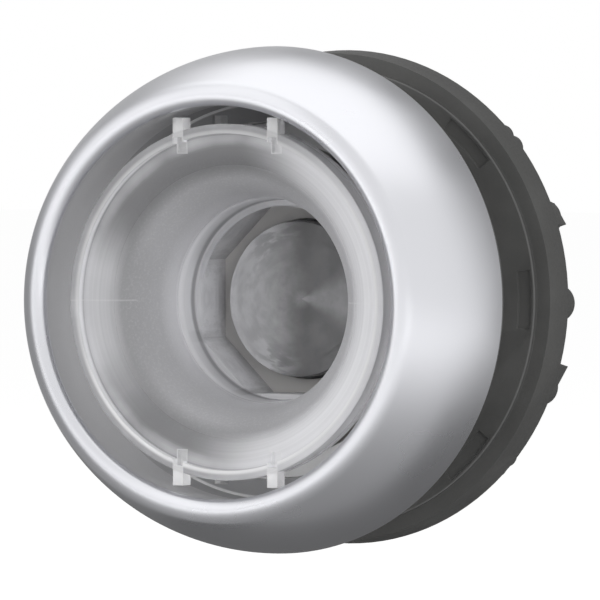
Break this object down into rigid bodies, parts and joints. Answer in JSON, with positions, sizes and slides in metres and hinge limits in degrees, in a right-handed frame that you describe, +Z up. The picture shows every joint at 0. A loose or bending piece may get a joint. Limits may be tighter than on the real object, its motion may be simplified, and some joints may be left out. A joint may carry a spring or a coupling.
{
  "type": "illuminated pushbutton switch front element",
  "caption": "Round flush illuminated pushbutton switch front element with satin bezel, open translucent cup, threaded barrel and ribbed lock ring.",
  "frame": {"origin": "on the button's axis, in the plane of the panel's front face, where the gasket seats", "axes": "+Y along the barrel towards the rear of the panel, so the user is at -Y; +Z up, through the nose that stops the barrel turning"},
  "size_m": [0.0296, 0.0245, 0.0296],
  "materials": {
    "satin_metal": "satin",
    "black_plastic": "fine matte moulding",
    "black_rubber": "matte",
    "grey_plastic": "fine matte moulding",
    "frosted_plastic": "frosted translucent",
    "seal_rubber": "matte",
    "clear_plastic": "clear, slightly smoky",
    "natural_plastic": "natural satin",
    "spring_steel": "bright drawn wire"
  },
  "bodies": {
    "front_element": {"housing": "black_plastic", "bezel": "satin_metal", "panel_gasket": "black_rubber", "diaphragm": "seal_rubber", "diaphragm_clamp": "black_plastic", "return_spring": "spring_steel", "rear_guide": "black_plastic"},
    "button": {"button_cup": "frosted_plastic", "lens_seal": "seal_rubber", "light_lens": "clear_plastic", "plunger": "natural_plastic"},
    "lock_ring": {"lock_ring": "grey_plastic"}
  },
  "joints": [
    {"name": "press", "type": "slide", "parent": "front_element", "child": "button", "axis": [0, 1, 0], "range_m": [0, 0.0048], "stiffness_N_per_m": 600, "springref_m": -0.003, "deforming": ["return_spring", "diaphragm"]},
    {"name": "lock_ring_travel", "type": "slide", "parent": "front_element", "child": "lock_ring", "axis": [0, 1, 0], "range_m": [-0.00435, 0.002]}
  ]
}
